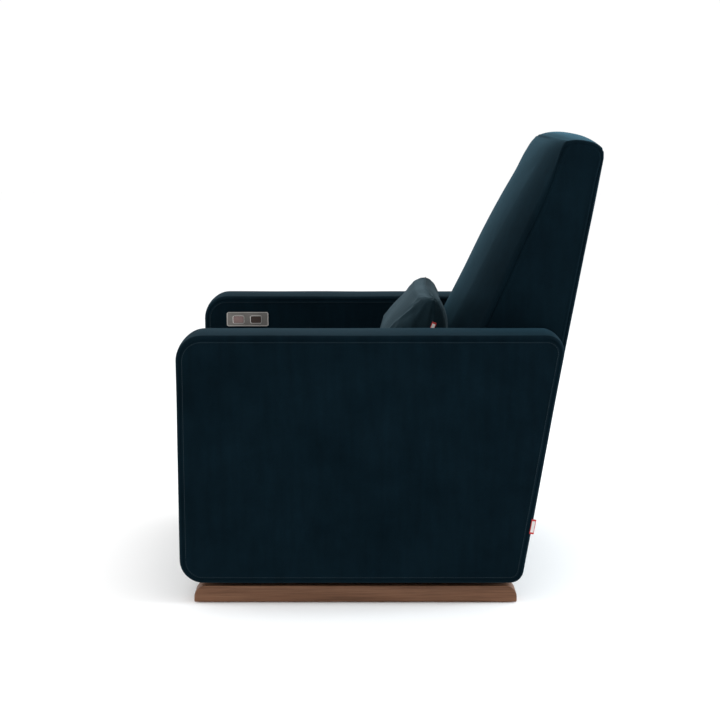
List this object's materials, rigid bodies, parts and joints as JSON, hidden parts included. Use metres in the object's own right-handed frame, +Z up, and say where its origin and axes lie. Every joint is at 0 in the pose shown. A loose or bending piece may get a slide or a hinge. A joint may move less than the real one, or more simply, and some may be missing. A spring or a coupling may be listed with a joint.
{
  "type": "glider recliner chair",
  "caption": "Upholstered power glider recliner with slab arms, a crowned leaning back, a lumbar pillow, a swing-out footrest and a wood sled base.",
  "frame": {"origin": "on the floor under the middle of the chair", "axes": "+X to the sitter's left, the chair faces -Y, +Z up"},
  "size_m": [0.76, 0.9471, 1.044],
  "materials": {
    "velvet": "deep teal velvet",
    "pillow_velvet": "lighter teal velvet",
    "walnut": "satin walnut",
    "pine": "bare pine",
    "dark_steel": "black satin powder coat",
    "steel": "zinc plated steel",
    "bush": "natural nylon",
    "rubber": "black rubber",
    "felt": "grey felt",
    "plate": "brushed bronze-grey metal",
    "button_a": "satin rose nickel",
    "button_b": "dark satin",
    "black_plastic": "black moulded plastic",
    "tag_red": "red woven ribbon"
  },
  "bodies": {
    "root": {"runner_left": "walnut", "runner_right": "walnut", "floor_pads": "felt", "cross_rail_front": "dark_steel", "cross_rail_rear": "dark_steel", "base_plate_left": "dark_steel", "base_plate_right": "dark_steel", "base_tube": "dark_steel", "base_pins": "steel", "bump_stops": "rubber"},
    "front_glide_links": {"glide_links_front": "steel", "glide_bushings_front": "bush"},
    "rear_glide_links": {"glide_links_rear": "steel", "glide_bushings_rear": "bush"},
    "chassis": {"chassis_plate_left": "dark_steel", "chassis_plate_right": "dark_steel", "chassis_tubes": "dark_steel", "chassis_pins": "steel", "arm_cover_left": "velvet", "arm_cover_right": "velvet", "arm_frame_left": "pine", "arm_frame_right": "pine", "arm_bolts": "steel", "arm_tag": "tag_red", "rear_panel": "velvet", "rear_board": "pine", "control_plate": "plate", "control_housing": "black_plastic", "control_cable": "rubber", "control_box": "black_plastic", "power_inlet": "black_plastic", "seat_rails": "pine", "seat_springs": "steel", "seat_cushion": "velvet", "back_bolts": "steel", "legrest_plates": "dark_steel", "legrest_rear_pins": "steel", "actuator_motor": "black_plastic"},
    "recline_button": {"recline_button": "button_a"},
    "return_button": {"return_button": "button_b"},
    "back": {"back_cushion": "velvet", "back_stiles": "pine", "back_rails": "pine", "back_brackets": "dark_steel", "back_springs": "steel"},
    "pillow": {"pillow": "pillow_velvet", "pillow_tag": "tag_red"},
    "legrest_front": {"drive_tube": "dark_steel", "drive_crank": "dark_steel", "front_links": "dark_steel", "front_link_pins": "steel"},
    "legrest_rear": {"rear_links": "dark_steel", "rear_link_pins": "steel"},
    "legrest_outer": {"outer_links": "dark_steel", "outer_link_pins": "steel"},
    "legrest_inner": {"inner_links": "dark_steel"},
    "footrest": {"footrest_brackets": "dark_steel", "footrest_board": "pine", "footrest_pad": "velvet"},
    "pushrod": {"actuator_rod": "steel"}
  },
  "joints": [
    {"name": "glide", "type": "hinge", "parent": "root", "child": "front_glide_links", "pos_m": [0, -0.115, 0.225], "axis": [1, 0, 0], "range_deg": [-18, 18]},
    {"name": "glide_rear", "type": "hinge", "parent": "root", "child": "rear_glide_links", "pos_m": [0, 0.155, 0.225], "axis": [1, 0, 0], "range_deg": [-18, 18]},
    {"name": "seat_level", "type": "hinge", "parent": "front_glide_links", "child": "chassis", "pos_m": [0, -0.115, 0.075], "axis": [1, 0, 0], "range_deg": [-18, 18]},
    {"name": "recline", "type": "hinge", "parent": "chassis", "child": "back", "pos_m": [0, 0.24826, 0.36], "axis": [-1, 0, 0], "range_deg": [0, 30]},
    {"name": "pillow_slide", "type": "slide", "parent": "back", "child": "pillow", "axis": [0, 0.4384, 0.8988], "range_m": [0, 0.34]},
    {"name": "legrest", "type": "hinge", "parent": "chassis", "child": "legrest_front", "pos_m": [0, -0.362, 0.29], "axis": [-1, 0, 0], "range_deg": [0, 90]},
    {"name": "legrest_rear", "type": "hinge", "parent": "chassis", "child": "legrest_rear", "pos_m": [0, -0.302, 0.29], "axis": [-1, 0, 0], "range_deg": [0, 90]},
    {"name": "legrest_outer", "type": "hinge", "parent": "legrest_front", "child": "legrest_outer", "pos_m": [0, -0.2817, 0.1178], "axis": [-1, 0, 0], "range_deg": [-90, 0]},
    {"name": "legrest_inner", "type": "hinge", "parent": "legrest_front", "child": "legrest_inner", "pos_m": [0, -0.2648, 0.08155], "axis": [-1, 0, 0], "range_deg": [-90, 0]},
    {"name": "footrest_turn", "type": "hinge", "parent": "legrest_outer", "child": "footrest", "pos_m": [0, -0.4067, 0.3098], "axis": [-1, 0, 0], "range_deg": [0, 90]},
    {"name": "pushrod", "type": "slide", "parent": "chassis", "child": "pushrod", "axis": [0, -1, 0], "range_m": [0, 0.08485]},
    {"name": "recline_button", "type": "slide", "parent": "chassis", "child": "recline_button", "axis": [-1, 0, 0], "range_m": [0, 0.0015], "stiffness_N_per_m": 400, "springref_m": -0.0008},
    {"name": "return_button", "type": "slide", "parent": "chassis", "child": "return_button", "axis": [-1, 0, 0], "range_m": [0, 0.0015], "stiffness_N_per_m": 400, "springref_m": -0.0008}
  ],
  "couplings": [
    {"joint": "glide_rear", "follows": "glide", "ratio": 1},
    {"joint": "seat_level", "follows": "glide", "ratio": -1},
    {"joint": "legrest_rear", "follows": "legrest", "ratio": 1},
    {"joint": "legrest_outer", "follows": "legrest", "ratio": -1},
    {"joint": "legrest_inner", "follows": "legrest", "ratio": -1},
    {"joint": "footrest_turn", "follows": "legrest", "ratio": 1},
    {"joint": "pushrod", "follows": "legrest", "m_per_rad": 0.054018}
  ]
}
